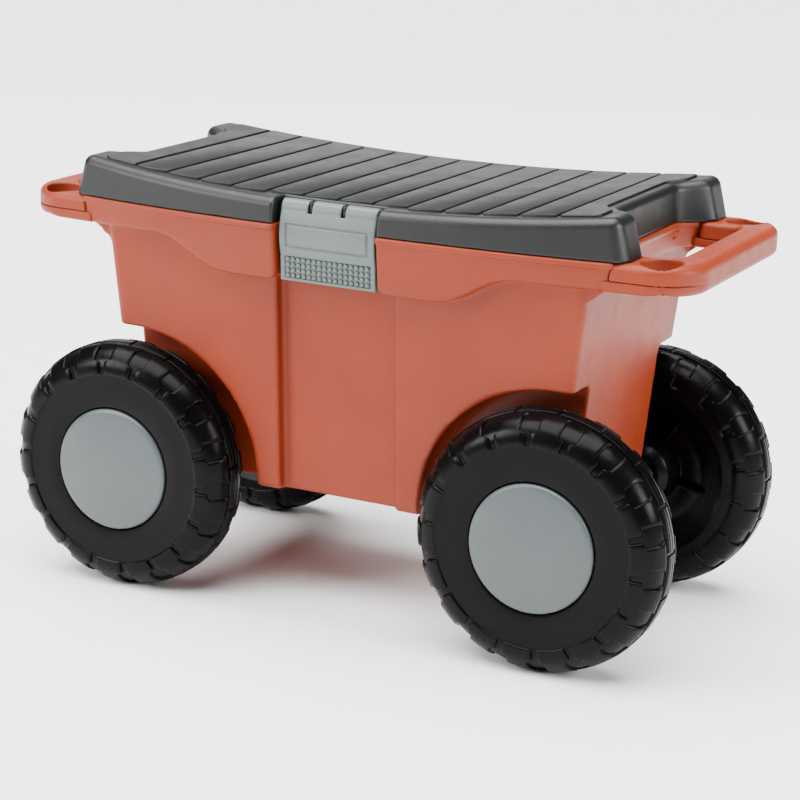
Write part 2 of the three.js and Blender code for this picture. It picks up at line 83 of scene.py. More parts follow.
# The handles: two arms and a grip round a window, split by a seam, with a tool hole at each corner.
HANDLE_END = 283.6
HANDLE_SIDE = 111.4
HANDLE_CORNER = 37.0
HANDLE_BOTTOM = 292.0
GRIP_START = 236.0
GRIP_SPREAD = 30.0
GRIP_HALF_WIDTH = 70.0
RIPPLE_PITCH = 7.0
RIPPLE_HEIGHT = 0.22
WINDOW_END = 258.6
WINDOW_HALF_WIDTH = 72.0
SEAM_Z = 300.0
SEAM_HALF_HEIGHT = 0.42
SEAM_DEPTH = 1.6
SEAM_END = 284.4
TOOL_HOLE = (253.6, 92.2, 15.5)

# The lid and its boards.
LID_END = 235.3
LID_END_DRAFT = 0.19
LID_DRAFT = 0.08
LID_FOOT = RIM_Z + 0.3
LID_TOP = 333.6
LID_SAG = 2.59e-4
PLANK_PITCH = 29.7
PLANK_GAP = 2.6
PLANK_RISE = 1.7
PLANK_THICKNESS = 3.4
PLANK_HALF_WIDTH = 110.5
PLANK_FRONT_BEHIND_LATCH = 104.0

# The latch: pivot bar, bowed plate, framed panel and grip panel.
LATCH_Y = -113.2
LATCH_Z = 326.0
LATCH_HALF_WIDTH = 40.5
LATCH_CURL = 5.6
LATCH_FOOT = 269.4
LATCH_WALL = 2.6
LATCH_EDGE = 2.4
LATCH_HOOKS = (-15.8, 12.2)
LATCH_SLOT_HALF_WIDTH = 2.0
PANEL_FOLD_Z = 290.0
PAD_SIZE = (3.0, 2.8, 2.3)
PAD_PITCH = (4.5, 4.2)
PAD_ROWS = 4
PAD_COLUMNS = 16
PAD_FIRST_Z = 273.9

# The rear hinge.
HINGE_X = 75.0
HINGE_Y = 133.6
HINGE_Z = LID_FOOT
HINGE_RADIUS = 4.2
EAR_OFFSET = 10.0
HINGE_PIECE_REACH = 7.2

# The wheels. Widths run from a wheel's own middle plane, and turns are in radians. The tread's
# section is two rounds about the radius TREAD_CORNER, with a flat between them.
WHEEL_MIDDLE = 109.25
WHEEL_TURNS = {"front_right": 0.27, "front_left": 0.23, "rear_right": 0.31, "rear_left": 0.02}
WHEEL_RIBS = 5
RIB_SIZE = (3.4, 9.0, 22)
RIB_MIDDLE = (0, -14.5, 49)
CAP_RADIUS = 48.6
CAP_CROWN = (32.9, 3.9)
TREAD_BLOCKS = 18
TREAD_CORNER = 77.6
TREAD_MIDDLE = 2.0
TREAD_ROUND = 22.4
TREAD_HALF_FLAT = 3.9
TREAD_DEPTH = 2.0
SLOT_START = 7.8
RING_GROOVE = (7.3, 1.3)
FINE_GROOVE = (2.3, 0.75)
TREAD_FADE = (38.1, 38.7)
TREAD_LENGTH = TREAD_HALF_FLAT + TREAD_ROUND * math.pi / 2

# The camera and the room: angles in degrees, places in metres, powers in watts.
CAMERA_AZIMUTH = 26.545
CAMERA_ELEVATION = 15.62
CAMERA_ROLL = 1.698
CAMERA_DISTANCE = 1.827
CAMERA_TARGET = (0.00448, 0, 0.1535)
CAMERA_LENS = 101.94
SENSOR_WIDTH = 36
FLOOR_HALF_SIZE = 18
ROOM_GLOW = 0.12
CEILING_STRENGTH = 12.5
CEILING_SPREAD = 70

# ---------------------------------------------------------------- shape fields
# A field is a signed distance in millimetres: negative inside the plastic, positive outside.


def rounded_both(a, b, radius):
    """Where both fields are negative, with the edge between them rounded."""
    corner = np.hypot(np.maximum(a + radius, 0), np.maximum(b + radius, 0))
    return np.minimum(np.maximum(a, b), -radius) + corner


def rounded_either(a, b, radius):
    """Where either field is negative, with a fillet in the corner between them."""
    return -rounded_both(-a, -b, radius)


def cut(solid, tool, radius=0.0):
    """The solid without the tool, with the new edge rounded."""
    return rounded_both(solid, -tool, radius)


def slab(value, low, high):
    """The layer between two values."""
    return np.abs(value - (low + high) / 2) - (high - low) / 2


def ease(t):
    """A smooth step from 0 to 1."""
    t = np.clip(t, 0, 1)
    return t * t * (3 - 2 * t)


def half_length(z):
    return BOTTOM_HALF_LENGTH + END_DRAFT * (z - TUB_BOTTOM)


def half_width(z):
    return BOTTOM_HALF_WIDTH + SIDE_DRAFT * (z - TUB_BOTTOM)


def lid_sag(x):
    return LID_SAG * x * x


def rim_field(x, y, lobe, corner):
    """The rim in plan: bowed long sides, and ends that step in between two corner lobes."""
    ax, ay = np.abs(x), np.abs(y)
    bow = RIM_HALF_WIDTH - RIM_BOW * (ax / 225) ** 2.6
    step = np.clip((ay - NOTCH_HALF_WIDTH) / NOTCH_RAMP, 0, 1)
    end = NOTCH_X + (lobe - NOTCH_X) * ease(step)
    slope = (lobe - NOTCH_X) / NOTCH_RAMP * 6 * step * (1 - step)
    return rounded_both(ay - bow, (ax - end) / np.hypot(1, slope), corner)


def latch_opening(x, y):
    """The gap in the front of the band and the rim for the latch: positive inside the gap."""
    return np.where(y < 0, OPENING_HALF_WIDTH - np.abs(x), -60.0)


def tub_side(x, y, z):
    """The tub's outer skin, open at the top: body, wheel wells, front channel and flared band."""
    ax, ay = np.abs(x), np.abs(y)
    body = rounded_both(ax - half_length(z), ay - half_width(z), 7)
    body = rounded_both(body, TUB_BOTTOM - z, 6)
    arch = np.minimum(np.hypot(ax - AXLE_X, z - AXLE_Z) - WELL_RADIUS,
                      np.maximum(AXLE_X - ax, z - AXLE_Z - WELL_RADIUS))
    body = cut(body, rounded_both(WELL_WALL - ay, arch, 6), 1.8)
    channel = rounded_both(ax - CHANNEL_HALF_WIDTH, y + half_width(z) - CHANNEL_DEPTH, 3)
    body = cut(body, channel, 3)
    along_step = (ax - BAND_STEP_X) / BAND_STEP_LENGTH
    low = BAND_LOW_Z + (BAND_HIGH_Z - BAND_LOW_Z) * ease(along_step)
    below = (low - z) / np.where(np.abs(along_step - 0.5) < 0.5, 1.12, 1.0)
    face = rim_field(x, y, RIM_END, 2) + 0.7 + BAND_DRAFT * (RIM_Z - z)
    band = rounded_both(face, rounded_both(below, latch_opening(x, y), 7), 2.6)
    return rounded_either(body, band, 2.0)


def gusset_field(x, y, z):
    """The sloping webs under the corners of the handles' trays."""
    ax, ay = np.abs(x), np.abs(y)
    web = np.maximum(np.abs(ay - GUSSET_Y) - 1.6, z - BAND_HIGH_Z - 1)
    slope = (ax - GUSSET_X) * GUSSET_RISE - (z - GUSSET_Z) * GUSSET_RUN
    slope /= math.hypot(GUSSET_RISE, GUSSET_RUN)
    return np.maximum(np.maximum(web, slope), GUSSET_X - ax)


def tub_field(x, y, z):
    """The whole tub: rim bead, gussets, hollow inside, axle tunnels and the latch's catch bar."""
    ax, ay = np.abs(x), np.abs(y)
    side = tub_side(x, y, z)
    bead = rounded_both(rim_field(x, y, RIM_END, 2) - 0.8, np.abs(z - RIM_Z + 2.3) - 2.3, 1.0)
    bead = np.maximum(bead, latch_opening(x, y))
    outer = rounded_both(rounded_either(side, bead, 0.8), z - RIM_Z, 0.9)
    outer = rounded_either(outer, gusset_field(x, y, z), 1.5)
    thickness = WALL + 1.4 * ease((306 - z) / 8) + 0.8 * ease((262 - z) / 30)
    shell = cut(outer, side + thickness, 0.8)
    from_axle = np.hypot(ax - AXLE_X, z - AXLE_Z)
    shell = rounded_either(shell, np.maximum(from_axle - TUNNEL_RADIUS, ay - WELL_WALL), 2)
    catch = np.maximum(np.maximum(ax - 22, slab(z, 283, 287)), slab(y, -109.5, -96))
    return cut(np.minimum(shell, catch), from_axle - AXLE_BORE, 0.4)


def hinge_barrel(y, z):
    return np.hypot(y - HINGE_Y, z - HINGE_Z) - HINGE_RADIUS


def hinge_ear_field(x, y, z):
    """One of the tub's four hinge ears: a barrel on the pin with a web down to the rear band."""
    web = np.maximum(slab(y, 124.2, HINGE_Y + 3.2), slab(z, 299, HINGE_Z))
    web = np.maximum(web, (y - HINGE_Y - HINGE_RADIUS) * 0.55 - (z - 305) * 0.6)
    body = rounded_either(hinge_barrel(y, z), web, 1.0)
    return rounded_both(body, np.abs(x) - 3.5, 0.8)


def hinge_knuckle_field(x, y, z):
    """The lid's hinge knuckle between two ears, with a web forward to the lid's rear wall."""
    web = np.maximum(slab(y, 122.5, HINGE_Y), slab(z, HINGE_Z + 0.3, HINGE_Z + HINGE_RADIUS))
    return rounded_both(rounded_either(hinge_barrel(y, z), web, 1.0), np.abs(x) - 6, 0.8)


def handle_plan(x, y):
    """A handle's outline, a little wider where its arms meet the tub's band."""
    side = HANDLE_SIDE + 1.3 * ease((245 - np.abs(x)) / 25)
    return rounded_both(np.abs(x) - HANDLE_END, np.abs(y) - side, HANDLE_CORNER)


def window_plan(x, y):
    return rounded_both(np.abs(x) - WINDOW_END, np.abs(y) - WINDOW_HALF_WIDTH, 9)


def hole_plan(x, y):
    hole_x, hole_y, radius = TOOL_HOLE
    return np.hypot(np.abs(x) - hole_x, np.abs(y) - hole_y) - radius


def handle_field(x, y, z):
    """One loop handle: a soft-topped arm at each side, a thicker rounded grip, and the seam."""
    plan = handle_plan(x, y)
    grip = ease((x - GRIP_START) / GRIP_SPREAD)
    ripple = RIPPLE_HEIGHT * grip * ease((GRIP_HALF_WIDTH - np.abs(y)) / 8)
    ripple *= np.cos(2 * math.pi * y / RIPPLE_PITCH)
    solid = rounded_both(plan, z - RIM_Z - 1.2 * grip - ripple, 7)
    solid = rounded_both(solid, HANDLE_BOTTOM - z, 2.5 + 3 * grip)
    root = np.where(z > SEAM_Z, RIM_END - 0.1 - BAND_DRAFT * (RIM_Z - z), RIM_END - 7)
    solid = np.maximum(solid, root - x)
    solid = cut(solid, window_plan(x, y), 4.5)
    solid = cut(solid, hole_plan(x, y), 1.3)
    depth = SEAM_DEPTH * ease((SEAM_END - x) / 12)
    skin = np.maximum(plan, -window_plan(x, y))
    seam = np.maximum(np.abs(z - SEAM_Z) - SEAM_HALF_HEIGHT, -skin - depth)
    return np.maximum(solid, -seam)


def lid_side(x, y, z):
    """The lid's outer skin, open below: drafted walls, a soft shoulder and the latch notch."""
    height = z - LID_FOOT
    wall = rim_field(x, y, LID_END - LID_END_DRAFT * height, 12) + 0.7 + LID_DRAFT * height
    top = (z - LID_TOP + PLANK_RISE - lid_sag(x)) / np.hypot(1, 2 * LID_SAG * x)
    body = rounded_both(wall, top, 7)
    return cut(body, rounded_both(np.abs(x) - 44, y + 106, 2), 2)


def lid_field(x, y, z):
    """The lid's shell, whose walls thicken just above their foot."""
    side = lid_side(x, y, z)
    thickness = WALL + 1.4 * ease((z - LID_FOOT - 2) / 3)
    return cut(rounded_both(side, LID_FOOT - z, 0.8), side + thickness, 0.5)


def latch_face(z):
    """How far forward the latch's face stands: a bowed upper panel above a flatter grip panel."""
    bow = np.cos((np.clip(z, PANEL_FOLD_Z, LATCH_Z) - 306) / 20 * math.pi / 2)
    upper = 118.8 + 3.6 * bow
    lower = 118.5 + 1.4 * (z - 271) / 19
    return np.where(z > PANEL_FOLD_Z, upper, lower)


def latch_field(x, y, z):
    """The latch: a bowed plate whose top curls round its pivot bar, with turned-in side edges."""
    ax = np.abs(x)
    radius = np.hypot(y - LATCH_Y, z - LATCH_Z)
    front = -(y + latch_face(z))
    plate = np.maximum(np.maximum(front, z - LATCH_Z), y + 112.6)
    outer = rounded_either(plate, radius - LATCH_CURL, 1.0)
    outer = rounded_both(np.maximum(outer, LATCH_FOOT - z), ax - LATCH_HALF_WIDTH, 1.2)
    between_edges = ax - LATCH_HALF_WIDTH + LATCH_EDGE
    hollow = np.minimum(np.maximum(front + LATCH_WALL, z - LATCH_Z), radius - 3.2)
    hollow = np.maximum(hollow, np.maximum(between_edges, LATCH_FOOT + 2 - z))
    body = cut(outer, hollow, 0.4)
    curl_gap = np.maximum(LATCH_Z - 2 - z, -(y + 109.4))
    body = np.maximum(body, -np.maximum(curl_gap, between_edges))
    for hook in LATCH_HOOKS:
        slot = np.maximum(np.abs(x - hook) - LATCH_SLOT_HALF_WIDTH, slab(z, 322.4, 340))
        body = cut(body, slot, 0.4)
    frame_line = np.abs(np.maximum(ax - 34.2, slab(z, 296.2, 313.2))) - 0.8
    body = cut(body, np.maximum(frame_line, np.abs(front) - 1.1), 0.3)
    grip = np.maximum(ax - 36.6, slab(z, 271.8, 288.6))
    return cut(body, np.maximum(grip, np.abs(front) - 1.3), 0.3)


# ---------------------------------------------------------------- meshes


def lines(*stretches):
    """Grid lines from (start, end, spacing) stretches that follow each other."""
    places = [
        np.linspace(start, end, max(2, round(abs(end - start) / spacing) + 1))
        for start, end, spacing in stretches
    ]
    return np.unique(np.round(np.concatenate(places), 4))


def both_ways(places):
    return np.unique(np.concatenate([-places, places]))


def gradient(field, points, reach=0.05):
    slopes = []
    for axis in range(3):
        step = np.zeros(3)
        step[axis] = reach
        ahead, behind = points + step, points - step
        slopes.append((field(*ahead.T) - field(*behind.T)) / (2 * reach))
    return np.stack(slopes, axis=1)


def crossings(values, places, axis):
    """Grid edges along an axis that pass through the surface: their starts, points and sides."""
    step = np.eye(3, dtype=int)[axis]
    near = np.delete(values, -1, axis=axis)
    far = np.delete(values, 0, axis=axis)
    starts = np.argwhere((near < 0) != (far < 0))
    a, b = values[tuple(starts.T)], values[tuple((starts + step).T)]
    points = np.stack([places[i][starts[:, i]] for i in range(3)], axis=1)
    ends = places[axis][starts[:, axis] + 1]
    points[:, axis] += a / (a - b) * (ends - points[:, axis])
    return starts, points, a < 0


def moulded_surface(name, field, xs, ys, zs):
    """A closed quad mesh on the surface of a field, with one point in each grid cell it crosses."""
    values = field(*np.meshgrid(xs, ys, zs, indexing="ij"))
    places = (xs, ys, zs)
    shape = tuple(len(p) - 1 for p in places)
    total = np.zeros((math.prod(shape), 3))
    hits = np.zeros(math.prod(shape))
    faces = []
    for axis in range(3):
        starts, points, leaving = crossings(values, places, axis)
        around = []
        for b, c in ((-1, -1), (0, -1), (0, 0), (-1, 0)):
            cell = starts.copy()
            cell[:, (axis + 1) % 3] += b
            cell[:, (axis + 2) % 3] += c
            index = np.ravel_multi_index(tuple(cell.T), shape)
            around.append(index)
            hits += np.bincount(index, minlength=len(hits))
            for i in range(3):
                total[:, i] += np.bincount(index, points[:, i], len(hits))
        ring = np.stack(around, axis=1)
        faces.append(np.where(leaving[:, None], ring, ring[:, ::-1]))
    used = np.flatnonzero(hits)
    number = np.zeros(len(hits), int)
    number[used] = np.arange(len(used))
    points = total[used] / hits[used, None]
    for _ in range(3):
        slope = gradient(field, points)
        length = np.maximum((slope * slope).sum(axis=1), 0.25)
        move = slope * (field(*points.T) / length)[:, None]
        points -= np.clip(move, -0.8, 0.8)
    return mesh_object(name, points * MM, number[np.concatenate(faces)])


def new_object(name, data):
    obj = bpy.data.objects.new(name, data)
    bpy.context.scene.collection.objects.link(obj)
    return obj


def shade_smooth(mesh):
    mesh.polygons.foreach_set("use_smooth", [True] * len(mesh.polygons))


def mesh_object(name, points, faces):
    mesh = bpy.data.meshes.new(name)
    mesh.from_pydata([tuple(p) for p in points], [], [tuple(int(i) for i in f) for f in faces])
    mesh.update()
    shade_smooth(mesh)
    return new_object(name, mesh)


def mirrored_copy(obj, name, axis):
    """A copy reflected across the cart's middle, with its faces still pointing out."""
    mesh = obj.data.copy()
    mesh.name = name
    sign = [1, 1, 1]
    sign[axis] = -1
    mesh.transform(Matrix.Diagonal((*sign, 1)))
    mesh.flip_normals()
    return new_object(name, mesh)


# ---------------------------------------------------------------- materials


def to_linear(code):
    """A colour written as sRGB hex, as the linear values a shader takes."""
    parts = [int(code[i:i + 2], 16) / 255 for i in (1, 3, 5)]
    lit = [c / 12.92 if c <= 0.04045 else ((c + 0.055) / 1.055) ** 2.4 for c in parts]
    return (*lit, 1.0)


def node(tree, kind, links=None, **settings):
    """Adds a node: settings name its own values or its input sockets, links feed its sockets."""
    made = tree.nodes.new(kind)
    for key, value in settings.items():
        if key in made.bl_rna.properties:
            setattr(made, key, value)
        else:
            made.inputs[key.replace("_", " ")].default_value = value
    for key, source in (links or {}).items():
        tree.links.new(source, made.inputs[key])
    return made


def mixed(tree, factor, first, second):
    """One colour fading to another; each is a colour or a link."""
    made = node(tree, "ShaderNodeMix", {"Factor": factor}, data_type="RGBA")
    for socket, value in ((made.inputs[6], first), (made.inputs[7], second)):
        if isinstance(value, tuple):
            socket.default_value = value
        else:
            tree.links.new(value, socket)
    return made.outputs[2]


def ranged(tree, value, low_in, high_in, low_out, high_out):
    made = node(tree, "ShaderNodeMapRange", {"Value": value}, From_Min=low_in, From_Max=high_in,
                To_Min=low_out, To_Max=high_out)
    return made.outputs["Result"]


def noise(tree, place, size_mm, detail, roughness=0.5):
    """Noise whose features are about size_mm across."""
    made = node(tree, "ShaderNodeTexNoise", {"Vector": place}, Scale=1 / (size_mm * MM),
                Detail=detail, Roughness=roughness)
    return made.outputs["Fac"]


def finish(name, base, shade, pale, roughness, grain, waves, metallic=0.0, sheen=0.5):
    """A moulded or plated surface: slow colour drift, pale rubbed patches, uneven gloss and grain.
    The fine grain and the slow waves are each (size, depth) in millimetres."""
    material = bpy.data.materials.new(name)
    material.use_nodes = True
    tree = material.node_tree
    shader = tree.nodes["Principled BSDF"]
    place = node(tree, "ShaderNodeTexCoord").outputs["Object"]
    drift = ranged(tree, noise(tree, place, 70, 3), 0.35, 0.65, 0, 1)
    colour = mixed(tree, drift, to_linear(shade), to_linear(base))
    rubbed = ranged(tree, noise(tree, place, 16, 9, 0.72), 0.60, 0.78, 0, 0.32)
    colour = mixed(tree, rubbed, colour, to_linear(pale))
    tree.links.new(colour, shader.inputs["Base Color"])
    smears = noise(tree, place, 24, 6, 0.6)
    gloss = ranged(tree, smears, 0.3, 0.7, roughness - 0.05, roughness + 0.07)
    tree.links.new(gloss, shader.inputs["Roughness"])
    shader.inputs["Metallic"].default_value = metallic
    shader.inputs["Specular IOR Level"].default_value = sheen
    if metallic == 0:
        shader.inputs["IOR"].default_value = 1.49
    slow = node(tree, "ShaderNodeBump", {"Height": noise(tree, place, waves[0], 1)},
                Distance=waves[1] * MM, Strength=1.0)
    fine = node(tree, "ShaderNodeBump",
                {"Height": noise(tree, place, grain[0], 2), "Normal": slow.outputs["Normal"]},
                Distance=grain[1] * MM, Strength=1.0)
    tree.links.new(fine.outputs["Normal"], shader.inputs["Normal"])
    return material


# Brick-orange polypropylene: an even satin from a lightly blasted mould.
TERRACOTTA = finish("satin terracotta polypropylene", "#7B2A10", "#75270F", "#86351A", 0.46,
                    (0.9, 0.012), (34, 0.10), sheen=0.24)
# Near-black polypropylene, whose leather-like grain turns it mid grey in the light.
CHARCOAL = finish("grained charcoal polypropylene", "#0D0E0E", "#0B0C0C", "#171818", 0.42,
                  (0.9, 0.035), (40, 0.06), sheen=0.36)
# Cool light grey, smoother than the tub, so it takes a clean soft highlight.
SILVER = finish("satin cool grey polypropylene", "#505A58", "#4B5553", "#5E6765", 0.38,
                (0.7, 0.008), (30, 0.05))
# The hub caps' plain mid grey, very smooth, with a broad slow sheen.
CAP_GREY = finish("smooth mid grey polypropylene", "#3F4647", "#3B4243", "#4A5152", 0.38,
                  (0.6, 0.006), (50, 0.05))
# Blow-moulded black with a coarse orange-peel skin from the mould.
WHEEL_BLACK = finish("blow moulded black polyethylene", "#060505", "#040404", "#0D0C0C", 0.26,
                     (1.3, 0.05), (9, 0.10), sheen=0.08)
# Bright zinc plate on the pins, axles and fasteners, dulled unevenly by handling.
STEEL = finish("zinc plated steel", "#A9ADB0", "#9EA2A6", "#C2C5C8", 0.30, (0.5, 0.006), (12, 0.02),
               metallic=1.0)
# Matt white backdrop board.
FLOOR = finish("matt white studio board", "#F4F4F4", "#F2F2F2", "#F6F6F6", 0.60,
               (3, 0.01), (90, 0.05))


def give(obj, material):
    obj.data.materials.clear()
    obj.data.materials.append(material)


def fit_in(obj, body, material, slot, *nodes):
    """Gives a finished piece its material and its body, and hides the CAD nodes that it stands for.
    """
    give(obj, material)
    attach(obj, body)
    if nodes:
        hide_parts(*nodes)
    return obj


# ---------------------------------------------------------------- the tub and its handles


def make_tub():
    xs = both_ways(lines((0, 40, 8), (40, 54, 1.6), (54, 172, 3.2), (172, 228, 2.0)))
    ys = both_ways(lines((0, 64, 8), (64, 75, 1.7), (75, 91, 2.8), (91, 131, 1.9)))
    zs = lines((89, 111, 1.8), (111, 203, 3.1), (203, 217, 1.6), (217, 262, 3.2), (262, 300, 2.2),
               (300, 316, 1.1))
    return moulded_surface("tub_shell", tub_field, xs, ys, zs)


def make_handle():
    xs = lines((213, 221, 1.9), (221, 225, 0.8), (225, 289, 1.35))
    ys = both_ways(lines((0, 66, 1.75), (66, 114, 1.35)))
    zs = lines((289, 299, 1.1), (299, 301, 0.4), (301, 317, 1.0))
    return moulded_surface("handle_right", handle_field, xs, ys, zs)


# ---------------------------------------------------------------- the lid, its planks and the latch


def make_lid():
    xs = both_ways(lines((0, 40, 5), (40, 48, 1.0), (48, 196, 4.6), (196, 239, 1.7)))
    ys = both_ways(lines((0, 50, 6), (50, 92, 2.2), (92, 130, 1.7)))
    zs = lines((311, 316, 1.1), (316, 326, 2.0), (326, 348, 1.0))
    return moulded_surface("lid_shell", lid_field, xs, ys, zs)


def end_plank_field(x, y, z):
    """The outermost raised board, whose free end steps in along the lid's end recess."""
    ay = np.abs(y)
    end = 197.5 + 12.0 * ease((ay - 57) / 24)
    slope = 0.75 * np.clip(1 - np.abs((ay - 69) / 12), 0, 1)
    plan = rounded_both(ay - 104.5 + 0.06 * (x - 180), (x - end) / np.hypot(1, slope), 5)
    plan = rounded_both(plan, 6 * PLANK_PITCH + PLANK_GAP / 2 - x, 1.2)
    surface = z - LID_TOP - lid_sag(x)
    return rounded_both(plan, np.maximum(surface, -PLANK_THICKNESS - surface), 1.0)


def make_end_plank():
    xs = lines((177, 183, 0.6), (183, 194, 1.6), (194, 213, 0.9))
    ys = both_ways(lines((0, 52, 5), (52, 86, 1.6), (86, 108, 0.9)))
    zs = lines((335, 346.5, 0.65))
    return moulded_surface("end_plank_right", end_plank_field, xs, ys, zs)


def bevelled_block(name, size, bevel, segments):
    """A block with rounded edges, centred in plan with its top at z = 0."""
    mesh = bmesh.new()
    bmesh.ops.create_cube(mesh, size=1)
    bmesh.ops.scale(mesh, vec=Vector(size) * MM, verts=mesh.verts)
    bmesh.ops.translate(mesh, vec=(0, 0, -size[2] * MM / 2), verts=mesh.verts)
    bmesh.ops.bevel(mesh, geom=mesh.edges[:], offset=bevel * MM, segments=segments, profile=0.5,
                    affect="EDGES", clamp_overlap=True)
    return object_from(mesh, name)


def object_from(mesh, name):
    """Turns an edited mesh into an object with smooth faces and crisp corners."""
    data = bpy.data.meshes.new(name)
    bmesh.ops.recalc_face_normals(mesh, faces=mesh.faces[:])
    mesh.to_mesh(data)
    mesh.free()
    shade_smooth(data)
    data.set_sharp_from_angle(angle=math.radians(40))
    return new_object(name, data)


def point_cloud(name, points, turns, scales):
    """Loose points that carry how each copy on them is turned and scaled."""
    mesh = bpy.data.meshes.new(name)
    mesh.from_pydata([tuple(np.array(p) * MM) for p in points], [], [])
    for label, values in (("turn", turns), ("size", scales)):
        layer = mesh.attributes.new(label, "FLOAT_VECTOR", "POINT")
        layer.data.foreach_set("vector", np.array(values, float).ravel())
    return new_object(name, mesh)


def copies_tree(name, merge):
    """Geometry nodes: a copy of the piece on each point, made real and given its material."""
    tree = bpy.data.node_groups.new(name, "GeometryNodeTree")
    tree.interface.new_socket("Points", in_out="INPUT", socket_type="NodeSocketGeometry")
    tree.interface.new_socket("Piece", in_out="INPUT", socket_type="NodeSocketObject")
    tree.interface.new_socket("Finish", in_out="INPUT", socket_type="NodeSocketMaterial")
    tree.interface.new_socket("Weld Distance", in_out="INPUT", socket_type="NodeSocketFloat")
    tree.interface.new_socket("Copies", in_out="OUTPUT", socket_type="NodeSocketGeometry")
    given = tree.nodes.new("NodeGroupInput").outputs
    piece = node(tree, "GeometryNodeObjectInfo", {"Object": given["Piece"]})
    turn = node(tree, "GeometryNodeInputNamedAttribute", data_type="FLOAT_VECTOR", Name="turn")
    size = node(tree, "GeometryNodeInputNamedAttribute", data_type="FLOAT_VECTOR", Name="size")
    placed = node(tree, "GeometryNodeInstanceOnPoints", {
        "Points": given["Points"], "Instance": piece.outputs["Geometry"],
        "Rotation": turn.outputs["Attribute"], "Scale": size.outputs["Attribute"]})
    real = node(tree, "GeometryNodeRealizeInstances", {"Geometry": placed.outputs["Instances"]})
    shape = real.outputs["Geometry"]
    if merge:
        weld = node(tree, "GeometryNodeMergeByDistance",
                    {"Geometry": shape, "Distance": given["Weld Distance"]})
        shape = weld.outputs["Geometry"]
    finish = node(tree, "GeometryNodeSetMaterial",
                  {"Geometry": shape, "Material": given["Finish"]})
    out = tree.nodes.new("NodeGroupOutput")
    tree.links.new(finish.outputs["Geometry"], out.inputs["Copies"])
    return tree


def copies(name, piece, points, material, turns=None, scales=None, weld=0.0):
    """One plain mesh of the piece repeated over the points by geometry nodes."""
    turns = turns or [(0, 0, 0)] * len(points)
    scales = scales or [(1, 1, 1)] * len(points)
    seed = point_cloud(name + "_points", points, turns, scales)
    modifier = seed.modifiers.new("copies", "NODES")
    tree = copies_tree(name + "_copies", weld > 0)
    modifier.node_group = tree
    sockets = {item.name: item.identifier for item in tree.interface.items_tree
               if item.in_out == "INPUT"}
    modifier[sockets["Piece"]] = piece
    modifier[sockets["Finish"]] = material
    modifier[sockets["Weld Distance"]] = weld * MM
    graph = bpy.context.evaluated_depsgraph_get()
    data = bpy.data.meshes.new_from_object(seed.evaluated_get(graph))
    data.name = name
    obj = new_object(name, data)
    bpy.data.objects.remove(seed)
    bpy.data.objects.remove(piece)
    return obj


def make_planks():
    """The twelve boards between the end boards, each tilted to lie on the sagging seat."""
    places, turns, scales = [], [], []
    for k in range(-6, 6):
        x = (k + 0.5) * PLANK_PITCH
        back = PLANK_HALF_WIDTH - 5 * (x / 180) ** 2
        front = -PLANK_FRONT_BEHIND_LATCH if abs(x) < 50 else -back
        places.append((x, (front + back) / 2, LID_TOP + lid_sag(x)))
        turns.append((0, -math.atan(2 * LID_SAG * x), 0))
        scales.append((1, (back - front) / (2 * PLANK_HALF_WIDTH), 1))
    size = (PLANK_PITCH - PLANK_GAP, 2 * PLANK_HALF_WIDTH, PLANK_THICKNESS)
    board = bevelled_block("board", size, 0.9, 2)
    return copies("lid_planks", board, places, CHARCOAL, turns, scales)


def make_latch():
    xs = both_ways(lines((0, 43, 0.9)))
    ys = lines((-124.5, -106, 0.75))
    zs = lines((267, 334, 0.75))
    return moulded_surface("latch_plate", latch_field, xs, ys, zs)


def make_latch_pads():
    """Four rows of sixteen little square grip pads."""
    places = []
    for row in range(PAD_ROWS):
        z = PAD_FIRST_Z + PAD_PITCH[1] * row
        y = -float(latch_face(z)) - 0.35
        for column in range(PAD_COLUMNS):
            places.append(((column - (PAD_COLUMNS - 1) / 2) * PAD_PITCH[0], y, z))
    pad = bevelled_block("pad", PAD_SIZE, 0.6, 2)
    return copies("latch_grip_pads", pad, places, SILVER, [(math.pi / 2, 0, 0)] * len(places))


def make_lid_hooks():
    """The two hooks on the lid that hold the latch's bar, seen in the latch's slots."""
    hook = bevelled_block("hook", (2.6, 9.0, 7.6), 0.9, 3)
    spots = [(x, LATCH_Y + 0.4, LATCH_Z + 4.2) for x in LATCH_HOOKS]
    return copies("latch_hooks", hook, spots, CHARCOAL)


# ---------------------------------------------------------------- the rear hinge


def make_hinge(name, field, places, material):
    """The same small hinge moulding at several places along the rear edge, as one mesh."""
    xs = lines((-HINGE_PIECE_REACH, HINGE_PIECE_REACH, 0.75))
    piece = moulded_surface(name + "_one", field, xs, lines((121, 140, 0.75)),
                            lines((297, 319.5, 0.75)))
    return copies(name, piece, [(x, 0, 0) for x in places], material)


# ---------------------------------------------------------------- wheels


def groove_half_width(s):
    """Half the width of a tread slot: a narrow stem by the sidewall, wider on the shoulder."""
    return 2.4 + 4.9 * ease((29.3 - s) / 3.5) - 1.6 * ease((12 - s) / 3)


def tread_rows():
    """Distances over the tread from its middle, closer together where the pattern turns."""
    half = [0, 1.5, 1.9, 2.3, 2.7, 3.1, 5.1, 5.55, 6.0, 6.4, 7.3, 8.2, 8.6, 9.05, 9.5, 10.8, 12, 14,
            16, 18, 20, 22, 24, 25.6, 26.4, 27.2, 28, 28.8, 29.6, 31, 33, 35, 36.8, 38, 38.6,
            TREAD_LENGTH]
    return np.array([-s for s in half[:0:-1]] + half)


